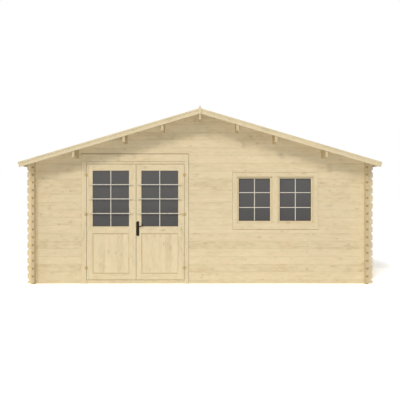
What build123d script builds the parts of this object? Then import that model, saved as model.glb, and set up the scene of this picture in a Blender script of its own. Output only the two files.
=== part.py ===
from build123d import *
import os
from math import ceil, cos, radians, sin, tan

# Garden log cabin, in millimetres: X to the right seen from the front, Y to the back, Z up.
# The origin is on the ground under the middle of the cabin, and the doors face -Y.

# Logs
log_pitch = 135.0
log_thickness = 45.0
log_gap = 0.3
joint_depth = 3.0
joint_height = 6.0
tongue_width = 15.0
tongue_height = 8.0
end_chamfer = 27.0
front_log_overhang = 126.0
side_log_overhang = 150.0
front_log_length = 6000.0
side_log_length = 4980.0
plate_height = 78.0

# Roof
roof_pitch = 16.5
roof_board = 19.0
front_overhang = 450.0
eave_overhang = 152.5
purlin_width = 45.0
purlin_depth = 155.0
purlin_shares = (0.2203, 0.4454, 0.7397)
bargeboard_depth = 87.0
bargeboard_thickness = 18.0
bargeboard_rise = 12.0
batten_depth = 28.0
batten_thickness = 10.0
eave_batten_width = 45.0
eave_batten_depth = 28.0
ridge_cover_width = 46.0
ridge_cover_drop = 125.0
ridge_cover_rise = 55.0
ridge_cover_thickness = 14.0
ridge_cover_point = 60.0

# Floor
floor_board = 19.0
bearer_section = 45.0
bearer_count = 8
floor_gap = 3.0

# Doors
door_left = -1974.0
door_right = -266.0
door_meeting = -1108.0
meeting_gap = 7.0
leaf_height = 2002.0
leaf_thickness = 40.0
leaf_gap = 6.3
hinge_gap = 8.0
hinge_stile = 104.0
left_meeting_stile = 119.0
right_meeting_stile = 88.0
leaf_top_rail = 104.0
leaf_lower_rail = 104.0
leaf_middle_rail = 114.0
leaf_glass_height = 980.0
leaf_panel_thickness = 20.0
frame_thickness = 40.0
lintel_notch = 29.6
stop_width = 20.0
stop_gap = 5.0
header_height = 120.0
header_strip_height = 45.5
left_trim_width = 82.0
right_trim_width = 66.0

# Trim and glass
trim_width = 80.0
trim_thickness = 18.0
strip_thickness = 10.0
glass_thickness = 4.0
seat_gap = 0.3

# Hinges and handle
hinge_shares = (0.102, 0.565, 0.907)
hinge_radius = 7.0
hinge_length = 64.0
hinge_plate = 3.0
hinge_reach = 34.0
knuckle_gap = 0.3
knuckle_stand = 1.0
handle_plate_width = 50.0
handle_plate_height = 260.0
handle_plate_thickness = 6.0
handle_plate_corner = 12.0
handle_edge = 1.5
lever_above_plate = 40.0
lever_above_rail = 8.2
spindle_radius = 9.0
lock_width = 30.0
lock_height = 160.0
lever_width = 18.0
lever_thickness = 13.0
lever_stand = 36.0
lever_length = 66.0
lever_tip = 34.0
lever_tip_angle = 50.0

# Window
window_left = 644.0
window_right = 1963.0
window_courses = 7
head_courses = 1
window_head = 99.0
window_sill = 46.0
window_mullion = 103.0
window_header_height = 88.0
window_header_lap = 20.5
window_header_thickness = 24.0
window_apron_height = 111.0
sash_thickness = 40.0
sash_stile = 36.0
sash_top_rail = 34.0
sash_bottom_rail = 40.0
sash_set_back = 20.0
sash_bevel = 8.0

# Worked out from the sizes above
overrun = log_pitch
half_log = log_pitch / 2
half_thickness = log_thickness / 2
crossing_x = front_log_length / 2 - front_log_overhang
crossing_y = side_log_length / 2 - side_log_overhang
outer_x = crossing_x + half_thickness
outer_y = crossing_y + half_thickness
inner_x = crossing_x - half_thickness
inner_y = crossing_y - half_thickness
notch_depth = log_pitch / 4

leaf_bottom = half_log + leaf_gap
leaf_top = leaf_bottom + leaf_height
head_bottom = leaf_top + leaf_gap
trim_face = -outer_y - trim_thickness
leaf_face = trim_face
leaf_back = leaf_face + leaf_thickness
glass_bottom = leaf_top - leaf_top_rail - leaf_glass_height
panel_bottom = leaf_bottom + leaf_lower_rail
panel_top = glass_bottom - leaf_middle_rail
hinge_y = leaf_face - hinge_radius - knuckle_stand
lever_height = glass_bottom + lever_above_rail

wall_courses = ceil((head_bottom - half_log) / log_pitch)
front_wall_height = half_log + wall_courses * log_pitch
head_top = front_wall_height + lintel_notch
side_wall_height = wall_courses * log_pitch
slope = tan(radians(roof_pitch))
slope_cos = cos(radians(roof_pitch))
slope_sin = sin(radians(roof_pitch))
ridge_height = side_wall_height + plate_height + outer_x * slope
eave_x = outer_x + eave_overhang
verge_y = outer_y + front_overhang
board_top_ridge = ridge_height + roof_board / slope_cos
verge_top_ridge = board_top_ridge + bargeboard_rise / slope_cos
gable_courses = int((ridge_height - front_wall_height) // log_pitch)
purlin_offsets = [share * crossing_x for share in purlin_shares]

window_top = front_wall_height - head_courses * log_pitch
window_bottom = window_top - window_courses * log_pitch
sash_bottom = window_bottom + window_sill
sash_top = window_top - window_head
mullion_centre = (window_left + window_right) / 2


def block(x_span, y_span, z_span):
    """A squared timber that fills three spans."""
    spans = (x_span, y_span, z_span)
    size = [high - low for low, high in spans]
    middle = [(high + low) / 2 for low, high in spans]
    return Pos(*middle) * Box(*size)


def side_prism(points, y_span):
    """A prism along Y with the given outline in X and Z."""
    face = Plane.XZ * Polygon(*points, align=None)
    return Pos(0, y_span[0], 0) * extrude(face, y_span[1] - y_span[0], dir=(0, 1, 0))


def mirrored(shape):
    """The same piece on the other side of the ridge line."""
    return mirror(shape, Plane.YZ)


def pieces(shapes):
    """All solids of several shapes, gathered in one node."""
    return Compound(children=[solid for shape in shapes for solid in shape.solids()])


# Logs

def log_section(height):
    """The end view of a log, with the long edges of its outer side chamfered."""
    top = height - log_gap
    side = half_thickness
    face = half_thickness - joint_depth
    points = [(-side, joint_height), (-face, 0), (side, 0)]
    points += [(side, top), (-face, top), (-side, top - joint_height)]
    return Polygon(*points, align=None)


def plain_log(length, height):
    """A log without notches, along X and standing on Z = 0, its outer side to -Y."""
    return Pos(-length / 2, 0, 0) * extrude(Plane.YZ * log_section(height), length)


def jointed(log, length, height, groove=True):
    """A log with a tongue along its top, and a groove for the next tongue along its underside."""
    tongue = tongue_width / 2
    slot = tongue + log_gap
    span = (-length / 2, length / 2)
    top = height - log_gap
    log += block(span, (-tongue, tongue), (top - tongue_height, top + tongue_height))
    if groove:
        log -= block(span, (-slot, slot), (-overrun, tongue_height))
    return log


def log_side_view(length, height, crossing, low_notch):
    """A log from the side: chamfered ends, and a notch over and under each crossing wall."""
    view = Pos(0, height / 2) * Rectangle(length, height)
    view = chamfer(view.vertices(), end_chamfer)
    notch_width = log_thickness + 2 * log_gap
    for place in (-crossing, crossing):
        view -= Pos(place, height) * Rectangle(notch_width, 2 * notch_depth + log_gap)
        if low_notch:
            view -= Pos(place, 0) * Rectangle(notch_width, 2 * notch_depth + log_gap)
    return view


def wall_log(length, height, crossing, low_notch=True, groove=True):
    """A log of a wall, along X and standing on Z = 0, tongued between the crossing walls."""
    view = Plane.XZ * log_side_view(length, height, crossing, low_notch)
    log = plain_log(length, height) & extrude(view, log_thickness, both=True)
    return jointed(log, 2 * (crossing - half_thickness - log_gap), height, groove)


def roof_space():
    """Everything above the underside of the roof boards."""
    reach = eave_x + overrun
    ridge = ridge_height - log_gap
    points = [(-reach, ridge - reach * slope), (0, ridge), (reach, ridge - reach * slope)]
    points += [(reach, ridge + 2 * overrun), (-reach, ridge + 2 * overrun)]
    return side_prism(points, (-verge_y - overrun, verge_y + overrun))


def eave_batten(clearance=0.0):
    """The right-hand batten under the ends of the roof boards, or the room for it in the front and back walls."""
    low_end = eave_x - (roof_board + eave_batten_depth) * slope_sin
    start = low_end - eave_batten_width * slope_cos - clearance
    length = verge_y - bargeboard_thickness - seat_gap
    end = eave_x - roof_board * slope_sin
    return slope_strip(ridge_height - seat_gap, eave_batten_depth + clearance, (-length, length), start, end)


def purlin_places():
    """The middle of each purlin, from left to right."""
    right = list(purlin_offsets)
    return [-place for place in reversed(right)] + [0.0] + right


def purlin_pockets():
    """The room that the purlins take in the gables."""
    half = purlin_width / 2 + log_gap
    length = (-verge_y, verge_y)
    pockets = []
    for place in purlin_places():
        low = ridge_height - abs(place) * slope - purlin_depth - log_gap
        pockets.append(block((place - half, place + half), length, (low, low + purlin_depth + overrun)))
    return pockets


def laid(log, turn, distance, height):
    """A log in the wall that faces the given way round from the front, at its height above the ground."""
    return Rot(0, 0, turn) * Pos(0, -distance, height) * log


def gable_logs(turn):
    """The logs above the walls on a front or back line, cut under the roof and round the purlins."""
    length = 2 * inner_x - 2 * log_gap
    top_height = ridge_height - front_wall_height - (gable_courses - 1) * log_pitch
    course = jointed(plain_log(length, log_pitch), length, log_pitch)
    top_course = jointed(plain_log(length, top_height), length, top_height)
    cuts = [roof_space()] + purlin_pockets()
    logs = []
    for number in range(gable_courses):
        shape = top_course if number == gable_courses - 1 else course
        log = laid(shape, turn, crossing_y, front_wall_height + number * log_pitch)
        logs.append(log - cuts)
    return logs


def front_line(turn):
    """The logs of a front or back wall, from the half log on the ground upwards."""
    half = wall_log(front_log_length, half_log, crossing_x, low_notch=False, groove=False)
    whole = wall_log(front_log_length, log_pitch, crossing_x)
    logs = [laid(half, turn, crossing_y, 0)]
    for number in range(wall_courses):
        logs.append(laid(whole, turn, crossing_y, half_log + number * log_pitch))
    batten_room = eave_batten(log_gap)
    logs[-1] = logs[-1] - [roof_space(), batten_room, mirrored(batten_room)]
    return logs


def side_wall(turn):
    """The logs of a left or right wall, with a bevelled plate under the roof."""
    lowest = wall_log(side_log_length, log_pitch, crossing_y, groove=False)
    whole = wall_log(side_log_length, log_pitch, crossing_y)
    logs = [laid(lowest, turn, crossing_x, 0)]
    for number in range(1, wall_courses + 1):
        logs.append(laid(whole, turn, crossing_x, number * log_pitch))
    logs[-1] = logs[-1] - roof_space()
    return pieces(logs)


def door_opening():
    """The doorway through the front wall, frame included."""
    reach = frame_thickness + seat_gap
    x_span = (door_left - reach, door_right + reach)
    return block(x_span, (-outer_y - overrun, -inner_y + overrun), (half_log - log_gap, head_top + seat_gap))


def window_opening():
    """The window's hole in the front wall, frame included, up into the groove of the log over it."""
    reach = frame_thickness + seat_gap
    slot = tongue_width / 2 + log_gap
    x_span = (window_left - reach, window_right + reach)
    hole = block(x_span, (-outer_y - overrun, -inner_y + overrun), (window_bottom - log_gap, window_top))
    return hole + block(x_span, (-crossing_y - slot, -crossing_y + slot), (window_bottom, window_top + tongue_height))


def front_walls():
    """The front wall in its four nodes: sill log, left of the doors, right of them, and the gable logs."""
    openings = [door_opening(), window_opening()]
    logs = front_line(0)
    sill = logs[0] - openings[0]
    left = []
    right = []
    for log in logs[1:]:
        for solid in (log - openings).solids():
            side = left if solid.center().X < door_left else right
            side.append(solid)
    gable = gable_logs(0)
    lintel = gable[0] - openings
    return {
        "front_sill_log": pieces([sill]),
        "front_wall_left": pieces(left),
        "front_wall_right": pieces(right),
        "front_lintel_log": pieces([lintel]),
        "front_gable": pieces(gable[1:]),
    }


def other_walls():
    """The back wall, the back gable and the two side walls."""
    return {
        "back_wall": pieces(front_line(180)),
        "back_gable": pieces(gable_logs(180)),
        "left_wall": side_wall(-90),
        "right_wall": side_wall(90),
    }


# Roof

def slope_strip(ridge, depth, y_span, start=0.0, end_x=None):
    """A strip along the right slope, from a place beside the ridge to a square cut end at the eave."""
    end = eave_x if end_x is None else end_x
    end_top = ridge - end * slope
    points = [(start, ridge - start * slope), (end, end_top)]
    points += [(end - depth * slope_sin, end_top - depth * slope_cos)]
    points += [(start, ridge - start * slope - depth / slope_cos)]
    return side_prism(points, y_span)


def purlin(place):
    """A purlin on edge, its top cut to the roof's slopes."""
    half = purlin_width / 2
    length = (-verge_y + bargeboard_thickness + seat_gap, verge_y - bargeboard_thickness - seat_gap)
    low = ridge_height - abs(place) * slope - purlin_depth
    return block((place - half, place + half), length, (low, low + purlin_depth + overrun)) - roof_space()


def bargeboard(y_front):
    """A right-hand front bargeboard with the batten along its top edge."""
    board = slope_strip(verge_top_ridge, bargeboard_depth, (y_front, y_front + bargeboard_thickness), log_gap)
    front = y_front - seat_gap
    batten = slope_strip(verge_top_ridge, batten_depth, (front - batten_thickness, front), log_gap)
    return pieces([board, batten])


def ridge_cover():
    """The slim pointed board over the joint of the front bargeboards."""
    half = ridge_cover_width / 2
    low = verge_top_ridge - ridge_cover_drop
    high = verge_top_ridge + ridge_cover_rise
    points = [(0, low), (half, low + ridge_cover_point), (half, high - ridge_cover_point), (0, high)]
    points += [(-half, high - ridge_cover_point), (-half, low + ridge_cover_point)]
    back = -verge_y - batten_thickness - 2 * seat_gap
    return side_prism(points, (back - ridge_cover_thickness, back))


def roof():
    """Purlins, roof slopes and the boards along their edges."""
    purlins = [purlin(place) for place in purlin_places()]
    middle = len(purlin_offsets)
    length = (-verge_y + bargeboard_thickness + seat_gap, verge_y - bargeboard_thickness - seat_gap)
    right_slope = slope_strip(board_top_ridge, roof_board, length, log_gap)
    eave = eave_batten()
    right_board = bargeboard(-verge_y)
    cover = ridge_cover()
    turn = Rot(0, 0, 180)
    return {
        "ridge_purlin": pieces([purlins[middle]]),
        "left_purlins": pieces(purlins[:middle]),
        "right_purlins": pieces(purlins[middle + 1:]),
        "roof_slope_right": pieces([right_slope]),
        "roof_slope_left": pieces([mirrored(right_slope)]),
        "eave_batten_right": pieces([eave]),
        "eave_batten_left": pieces([mirrored(eave)]),
        "front_bargeboard_right": right_board,
        "front_bargeboard_left": pieces([mirrored(right_board)]),
        "back_bargeboard_left": pieces([turn * right_board]),
        "back_bargeboard_right": pieces([turn * mirrored(right_board)]),
        "front_ridge_cover": pieces([cover]),
        "back_ridge_cover": pieces([turn * cover]),
    }


# Floor

def floor():
    """Bearers on the ground and the floor that lies on them."""
    reach_x = inner_x - floor_gap
    reach_y = inner_y - floor_gap
    step = (2 * reach_x - bearer_section) / (bearer_count - 1)
    bearers = []
    for number in range(bearer_count):
        left = -reach_x + number * step
        bearers.append(block((left, left + bearer_section), (-reach_y, reach_y), (0, bearer_section)))
    top = bearer_section + seat_gap + floor_board
    boards = block((-reach_x, reach_x), (-reach_y, reach_y), (bearer_section + seat_gap, top))
    return {"floor_bearers": pieces(bearers), "floor": pieces([boards])}


# Doors

def door_frame():
    """Jambs and head in the wall's thickness, with the laths that the leaves close against."""
    depth = (-outer_y, -inner_y)
    low = half_log
    reach = frame_thickness
    jambs = [block((door_left - reach, door_left), depth, (low, head_top))]
    jambs.append(block((door_right, door_right + reach), depth, (low, head_top)))
    head = block((door_left + seat_gap, door_right - seat_gap), depth, (head_bottom, head_top))
    stop_depth = (leaf_back + stop_gap, -inner_y)
    stop_top = head_bottom - seat_gap
    left_stop = (door_left + seat_gap, door_left + seat_gap + stop_width)
    right_stop = (door_right - seat_gap - stop_width, door_right - seat_gap)
    stops = [block(left_stop, stop_depth, (low, stop_top)), block(right_stop, stop_depth, (low, stop_top))]
    top_span = (left_stop[1] + seat_gap, right_stop[0] - seat_gap)
    stops.append(block(top_span, stop_depth, (stop_top - stop_width, stop_top)))
    return pieces(jambs + [head] + stops)


def door_trim():
    """Boards round the doorway, outside and inside, with a strip and a deep header over the leaves."""
    strip_top = head_bottom + header_strip_height
    header_low = strip_top + seat_gap
    header_span = (door_left - left_trim_width, door_right + right_trim_width)
    left = (door_left - left_trim_width, door_left)
    right = (door_right, door_right + right_trim_width)
    outside = (-outer_y - seat_gap - trim_thickness, -outer_y - seat_gap)
    strip_depth = (-outer_y - seat_gap - strip_thickness, -outer_y - seat_gap)
    inside = (-inner_y + seat_gap, -inner_y + seat_gap + trim_thickness)
    ground = seat_gap
    strip = block((left[1] + seat_gap, right[0] - seat_gap), strip_depth, (head_bottom, strip_top))
    boards = [block(span, outside, (ground, strip_top)) for span in (left, right)]
    boards += [strip, block(header_span, outside, (header_low, header_low + header_height))]
    floor_top = bearer_section + seat_gap + floor_board + seat_gap
    boards += [block(span, inside, (floor_top, strip_top)) for span in (left, right)]
    boards.append(block(header_span, inside, (header_low, header_low + trim_width)))
    return pieces(boards)


def leaf_spans(side):
    """The leaf's whole width, and the width of its glass and panel."""
    half_gap = meeting_gap / 2
    if side == "left":
        whole = (door_left + hinge_gap, door_meeting - half_gap)
        return whole, (whole[0] + hinge_stile, whole[1] - left_meeting_stile)
    whole = (door_meeting + half_gap, door_right - hinge_gap)
    return whole, (whole[0] + right_meeting_stile, whole[1] - hinge_stile)


def leaf(side):
    """Stiles and rails of one leaf, with its glass and its lower panel."""
    whole, light = leaf_spans(side)
    depth = (leaf_face, leaf_back)
    through = (leaf_face - overrun, leaf_back + overrun)
    frame = block(whole, depth, (leaf_bottom, leaf_top))
    frame -= block(light, through, (glass_bottom, glass_bottom + leaf_glass_height))
    frame -= block(light, through, (panel_bottom, panel_top))
    if side == "right":
        lock = Pos(lever_centre(), leaf_face, lever_height - lever_above_plate)
        frame -= lock * Box(lock_width, 2 * leaf_thickness + overrun, lock_height)
    middle = (leaf_face + leaf_back) / 2
    inner = (light[0] + seat_gap, light[1] - seat_gap)
    glass_depth = (middle - glass_thickness / 2, middle + glass_thickness / 2)
    panel_depth = (middle - leaf_panel_thickness / 2, middle + leaf_panel_thickness / 2)
    glass_span = (glass_bottom + seat_gap, glass_bottom + leaf_glass_height - seat_gap)
    return {
        side + "_door_leaf": pieces([frame]),
        side + "_door_glass": pieces([block(inner, glass_depth, glass_span)]),
        side + "_door_panel": pieces([block(inner, panel_depth, (panel_bottom + seat_gap, panel_top - seat_gap))]),
    }


def hinge_half(side, on_leaf):
    """One half of a hinge at height zero: its knuckle and the plate that is let into the gap."""
    away = 1 if side == "left" else -1
    length = (hinge_length - knuckle_gap) / 2
    middle = (length + knuckle_gap) / 2 if on_leaf else -(length + knuckle_gap) / 2
    z_span = (middle - length / 2, middle + length / 2)
    edge = hinge_gap / 2 - seat_gap
    plate = (edge - hinge_plate, edge) if on_leaf else (-edge, hinge_plate - edge)
    x_span = sorted(away * place for place in plate)
    knuckle = Pos(0, 0, middle) * Cylinder(hinge_radius, length)
    return knuckle + block(x_span, (0, hinge_reach), z_span)


def hinges(side):
    """The hinges of one leaf: the halves on the frame and the halves on the leaf."""
    away = 1 if side == "left" else -1
    edge = door_left if side == "left" else door_right
    axis_x = edge + away * hinge_gap / 2
    places = [Pos(axis_x, hinge_y, leaf_bottom + share * leaf_height) for share in hinge_shares]
    fixed = hinge_half(side, on_leaf=False)
    moving = hinge_half(side, on_leaf=True)
    return {
        side + "_frame_hinges": pieces([place * fixed for place in places]),
        side + "_leaf_hinges": pieces([place * moving for place in places]),
    }


def lever_centre():
    """The lever's axis across the width, in the middle of the handle plate."""
    return door_meeting + meeting_gap / 2 + handle_edge + handle_plate_width / 2


def handle_plates():
    """The long plates on both faces of the right leaf, bored for the lever's spindle."""
    outline = Rectangle(handle_plate_width, handle_plate_height)
    outline = chamfer(outline.vertices(), handle_plate_corner)
    plate = extrude(Plane.XZ * outline, handle_plate_thickness)
    centre = lever_centre()
    plate_height = lever_height - lever_above_plate
    spindle = Pos(centre, leaf_face, lever_height) * Rot(90, 0, 0)
    bore = spindle * Cylinder(spindle_radius + seat_gap, 2 * leaf_thickness + overrun)
    outside = Pos(centre, leaf_face - seat_gap, plate_height) * plate
    inside = Pos(centre, leaf_back + seat_gap + handle_plate_thickness, plate_height) * plate
    return pieces([outside - bore, inside - bore])


def lever_arm():
    """A lever from the front: a bar with its free end bent up."""
    half = lever_width / 2
    bend = radians(lever_tip_angle)
    mitre = half * tan(bend / 2)
    tip_x = lever_length + lever_tip * cos(bend)
    tip_z = lever_tip * sin(bend)
    across = (half * sin(bend), half * cos(bend))
    points = [(-half, -half), (lever_length + mitre, -half), (tip_x + across[0], tip_z - across[1])]
    points += [(tip_x - across[0], tip_z + across[1]), (lever_length - mitre, half), (-half, half)]
    return Polygon(*points, align=None)


def lever():
    """The lever handles outside and inside, on one spindle."""
    centre = Pos(lever_centre(), 0, lever_height)
    reach = handle_plate_thickness + lever_stand
    front = leaf_face - reach
    back = leaf_back + reach
    shape = centre * Pos(0, (front + back) / 2, 0) * Rot(90, 0, 0) * Cylinder(spindle_radius, back - front)
    arm = extrude(Plane.XZ * lever_arm(), lever_thickness, dir=(0, 1, 0))
    shape += centre * Pos(0, front - lever_thickness, 0) * arm
    shape += centre * Pos(0, back, 0) * arm
    return pieces([shape])


def doors():
    """Frame, trim, leaves and fittings of the doorway."""
    nodes = {"door_frame": door_frame(), "door_trim": door_trim()}
    for side in ("left", "right"):
        nodes.update(leaf(side))
        nodes.update(hinges(side))
    nodes["door_handle_plates"] = handle_plates()
    nodes["door_lever"] = lever()
    return nodes


# Window

def window_lights():
    """The two spans between the window's jambs and its mullion."""
    half = window_mullion / 2
    return {"left": (window_left, mullion_centre - half), "right": (mullion_centre + half, window_right)}


def window_frame():
    """Jambs, mullion, head and sill in the wall's thickness."""
    depth = (-outer_y, -inner_y)
    reach = frame_thickness
    whole = (window_left - reach, window_right + reach)
    sill_top = sash_bottom - seat_gap
    head_low = sash_top + seat_gap
    upright = (sill_top + seat_gap, head_low - seat_gap)
    half = window_mullion / 2
    bars = [block(whole, depth, (window_bottom, sill_top)), block(whole, depth, (head_low, window_top - log_gap))]
    bars.append(block((window_left - reach, window_left), depth, upright))
    bars.append(block((window_right, window_right + reach), depth, upright))
    bars.append(block((mullion_centre - half, mullion_centre + half), depth, upright))
    return pieces(bars)


def window_trim():
    """Boards round the window and on its mullion, outside and inside, under a thicker header."""
    left = (window_left - trim_width, window_left)
    right = (window_right, window_right + trim_width)
    head = (window_left + seat_gap, window_right - seat_gap)
    mullion = (mullion_centre - window_mullion / 2, mullion_centre + window_mullion / 2)
    whole = (left[0], right[1])
    header_low = window_top - window_header_lap
    apron_high = sash_bottom - seat_gap
    upright = (apron_high + seat_gap, header_low - seat_gap)
    head_low = sash_top + seat_gap
    boards = []
    for face, away in ((-outer_y - seat_gap, -1), (-inner_y + seat_gap, 1)):
        depth = sorted((face, face + away * trim_thickness))
        header_depth = sorted((face, face + away * window_header_thickness))
        boards += [block(span, depth, upright) for span in (left, right)]
        boards.append(block(head, depth, (head_low, upright[1])))
        boards.append(block(mullion, depth, (upright[0], head_low - seat_gap)))
        boards.append(block(whole, header_depth, (header_low, header_low + window_header_height)))
        boards.append(block(whole, depth, (apron_high - window_apron_height, apron_high)))
    return pieces(boards)


def window_sash(side):
    """A fixed sash with bevelled inner edges, and its pane."""
    span = window_lights()[side]
    outer = (span[0] + seat_gap, span[1] - seat_gap)
    inner = (outer[0] + sash_stile, outer[1] - sash_stile)
    z_inner = (sash_bottom + sash_bottom_rail, sash_top - sash_top_rail)
    face = -outer_y + sash_set_back
    depth = (face, face + sash_thickness)
    frame = block(outer, depth, (sash_bottom, sash_top))
    frame -= block(inner, (face - overrun, face + sash_thickness + overrun), z_inner)
    front_edges = frame.edges().filter_by_position(Axis.Y, face, face)
    inner_edges = [edge for edge in front_edges if inner[0] <= edge.center().X <= inner[1]]
    inner_edges = [edge for edge in inner_edges if z_inner[0] <= edge.center().Z <= z_inner[1]]
    frame = chamfer(inner_edges, sash_bevel)
    middle = face + sash_thickness / 2
    pane_depth = (middle - glass_thickness / 2, middle + glass_thickness / 2)
    pane_x = (inner[0] + seat_gap, inner[1] - seat_gap)
    pane = block(pane_x, pane_depth, (z_inner[0] + seat_gap, z_inner[1] - seat_gap))
    return {side + "_window_sash": pieces([frame]), side + "_window_glass": pieces([pane])}


def window():
    """Frame, trim, sashes and panes of the window."""
    nodes = {"window_frame": window_frame(), "window_trim": window_trim()}
    for side in ("left", "right"):
        nodes.update(window_sash(side))
    return nodes


def main():
    """Build every node and write it to its own file."""
    os.makedirs("parts", exist_ok=True)
    nodes = {}
    for group in (front_walls, other_walls, roof, floor, doors, window):
        nodes.update(group())
    for name, shape in nodes.items():
        export_step(shape, os.path.join("parts", name + ".step"))


main()
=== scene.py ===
import math

import bmesh
import bpy
from mathutils import Matrix, Vector


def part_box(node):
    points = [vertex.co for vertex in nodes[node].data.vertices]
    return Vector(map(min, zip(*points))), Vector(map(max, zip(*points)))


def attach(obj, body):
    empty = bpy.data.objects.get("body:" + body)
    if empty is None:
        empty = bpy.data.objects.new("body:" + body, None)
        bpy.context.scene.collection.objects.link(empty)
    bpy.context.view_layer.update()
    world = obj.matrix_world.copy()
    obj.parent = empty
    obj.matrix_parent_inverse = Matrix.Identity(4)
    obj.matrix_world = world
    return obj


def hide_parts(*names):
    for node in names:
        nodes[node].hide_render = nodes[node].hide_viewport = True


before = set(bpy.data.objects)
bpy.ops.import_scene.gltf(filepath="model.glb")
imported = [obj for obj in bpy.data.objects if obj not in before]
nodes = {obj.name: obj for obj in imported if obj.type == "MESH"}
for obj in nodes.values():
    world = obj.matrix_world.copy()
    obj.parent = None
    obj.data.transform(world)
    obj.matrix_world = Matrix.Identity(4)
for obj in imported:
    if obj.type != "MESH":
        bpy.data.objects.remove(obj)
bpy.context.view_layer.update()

# Sizes in metres, as the cabin is built
PITCH = math.radians(16.5)
LOG_PITCH = 0.135
CROSSING_X = 2.874
CROSSING_Y = 2.34
ROOF_BOARD = 0.0955
ROOF_THICKNESS = 0.019
FLOOR_BOARD = 0.113
PANEL_BOARD = 0.105
WALL_FACE = -2.3625
LEAF_FACE = -2.3805
LEAF_BACK = -2.3405
DOOR_LEFT = -1.974
DOOR_RIGHT = -0.266
DOOR_HEAD = 2.0821
HEADER_LOW = 2.1279
HEADER_TOP = 2.2479
TRIM_LEFT = -2.056
TRIM_RIGHT = -0.200
HINGE_SHARES = (0.102, 0.565, 0.907)
SASH_TOP = 1.8585
SASH_BOTTOM = 1.0585
WINDOW_HEADER_LOW = 1.937
BAR_WIDTH = 0.014
BAR_STAND = 0.048
BAR_LAP = 0.062
DOOR_BAR_MIDDLE = {"left": -1.5462, "right": -0.6975}
DOOR_BAR_HEIGHTS = (1.2245, 1.4755, 1.7225)
WINDOW_BAR_HEIGHTS = (1.326, 1.585)
LEVER_PLACE = (-1.078, 1.0)
SEAT_GAP = 0.0003
BOARD_GAP = 0.0002
MOULDING_WIDTH = 0.022

# Colours as they look in plain light
SPRUCE = (0.745, 0.617, 0.386)
SPRUCE_TRIM = (0.75, 0.625, 0.392)
SPRUCE_BAR = (0.74, 0.69, 0.575)
# Painted shade: the dark tone of the strip over the door header
CAP_SHADE_TONE = (0.44, 0.355, 0.22)
KNOT = (0.36, 0.22, 0.10)
# Painted shade: the dark in the grooves between the log ends
LOG_END_SHADE = (0.10, 0.07, 0.04)
WARM_LIGHT = (1.0, 0.975, 0.95)
COOL_LIGHT = (0.93, 0.995, 1.10)

# How far each layer of the wood's figure makes it lighter or darker
GRAIN, MOTTLE, SMEAR, RING, BOARD_SHADE, HALO, SMUDGE = 0.38, 0.58, 0.36, 0.02, 0.19, 0.09, 0.22
# How dark the knots and the log seams are, and the painted shade in the grooves at the log ends
KNOT_DEPTH, SEAM_DEPTH, LOG_END_SHADE_DEPTH = 0.5, 0.35, 0.5


# Node helpers

def add(tree, kind, values=None, **settings):
    """A node with its settings, and its inputs set or linked by name or number."""
    made = tree.nodes.new(kind)
    for name, value in settings.items():
        setattr(made, name, value)
    for name, value in (values or {}).items():
        if isinstance(value, bpy.types.NodeSocket):
            tree.links.new(value, made.inputs[name])
        else:
            made.inputs[name].default_value = value
    return made


def calc(tree, operation, first, second=0.0, clamp=False):
    """The result of one sum."""
    return add(tree, "ShaderNodeMath", {0: first, 1: second}, operation=operation, use_clamp=clamp).outputs[0]


def between(tree, value, low, high):
    """A smooth step from 0 at low to 1 at high."""
    step = add(tree, "ShaderNodeMapRange", {"Value": value, "From Min": low, "From Max": high},
               interpolation_type="SMOOTHSTEP")
    return step.outputs[0]


def blend(tree, share, first, second, mode="MIX"):
    """Two colours mixed by a share."""
    mixed = add(tree, "ShaderNodeMix", {0: share, 6: first, 7: second}, data_type="RGBA", blend_type=mode)
    return mixed.outputs[2]


def joined(tree, x, y, z):
    """Three numbers as one place."""
    return add(tree, "ShaderNodeCombineXYZ", {0: x, 1: y, 2: z}).outputs[0]


def stretched(tree, run, side, depth, along, across):
    """A place on the wood, scaled along the grain and across it."""
    return joined(tree, calc(tree, "MULTIPLY", run, along), calc(tree, "MULTIPLY", side, across),
                  calc(tree, "MULTIPLY", depth, across))


def swing(tree, value, amount):
    """A noise value round its middle, times an amount."""
    return calc(tree, "MULTIPLY", calc(tree, "SUBTRACT", value, 0.5), amount)


def swapped(tree, mask, first, second):
    """The first value outside the mask, the second inside it."""
    return calc(tree, "ADD", first, calc(tree, "MULTIPLY", mask, calc(tree, "SUBTRACT", second, first)))


def new_finish(name):
    """An empty material and its main shader."""
    finish = bpy.data.materials.new(name)
    finish.use_nodes = True
    tree = finish.node_tree
    tree.nodes.clear()
    shader = add(tree, "ShaderNodeBsdfPrincipled")
    add(tree, "ShaderNodeOutputMaterial", {"Surface": shader.outputs[0]})
    return finish, tree, shader


def rgba(colour, share=1.0):
    """A colour for a shader's socket, lighter or darker by a share."""
    return (colour[0] * share, colour[1] * share, colour[2] * share, 1.0)


# Finishes

def level_mask(tree, axes, zones):
    """1 on the boards that lie level, 0 on those that stand upright."""
    total = None
    for low_x, high_x, low_z, high_z in zones:
        near_x = calc(tree, "ABSOLUTE", calc(tree, "SUBTRACT", axes[0], (low_x + high_x) / 2))
        near_z = calc(tree, "ABSOLUTE", calc(tree, "SUBTRACT", axes[2], (low_z + high_z) / 2))
        inside = calc(tree, "MULTIPLY", calc(tree, "LESS_THAN", near_x, (high_x - low_x) / 2),
                      calc(tree, "LESS_THAN", near_z, (high_z - low_z) / 2))
        total = inside if total is None else calc(tree, "MAXIMUM", total, inside)
    return total


def spots(tree, run, side, along, across, share, small, large):
    """Spots scattered over a board: the way to the nearest, if it is one of the chosen, and its size."""
    place = joined(tree, calc(tree, "MULTIPLY", run, along), calc(tree, "MULTIPLY", side, across), 0.0)
    cells = add(tree, "ShaderNodeTexVoronoi", {"Vector": place, "Scale": 1.0}, voronoi_dimensions="2D")
    pick = add(tree, "ShaderNodeSeparateColor", {0: cells.outputs["Color"]}).outputs
    chosen = calc(tree, "LESS_THAN", pick[0], share)
    reach = calc(tree, "ADD", calc(tree, "MULTIPLY", pick[1], large - small), small)
    return cells.outputs["Distance"], chosen, reach


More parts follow.
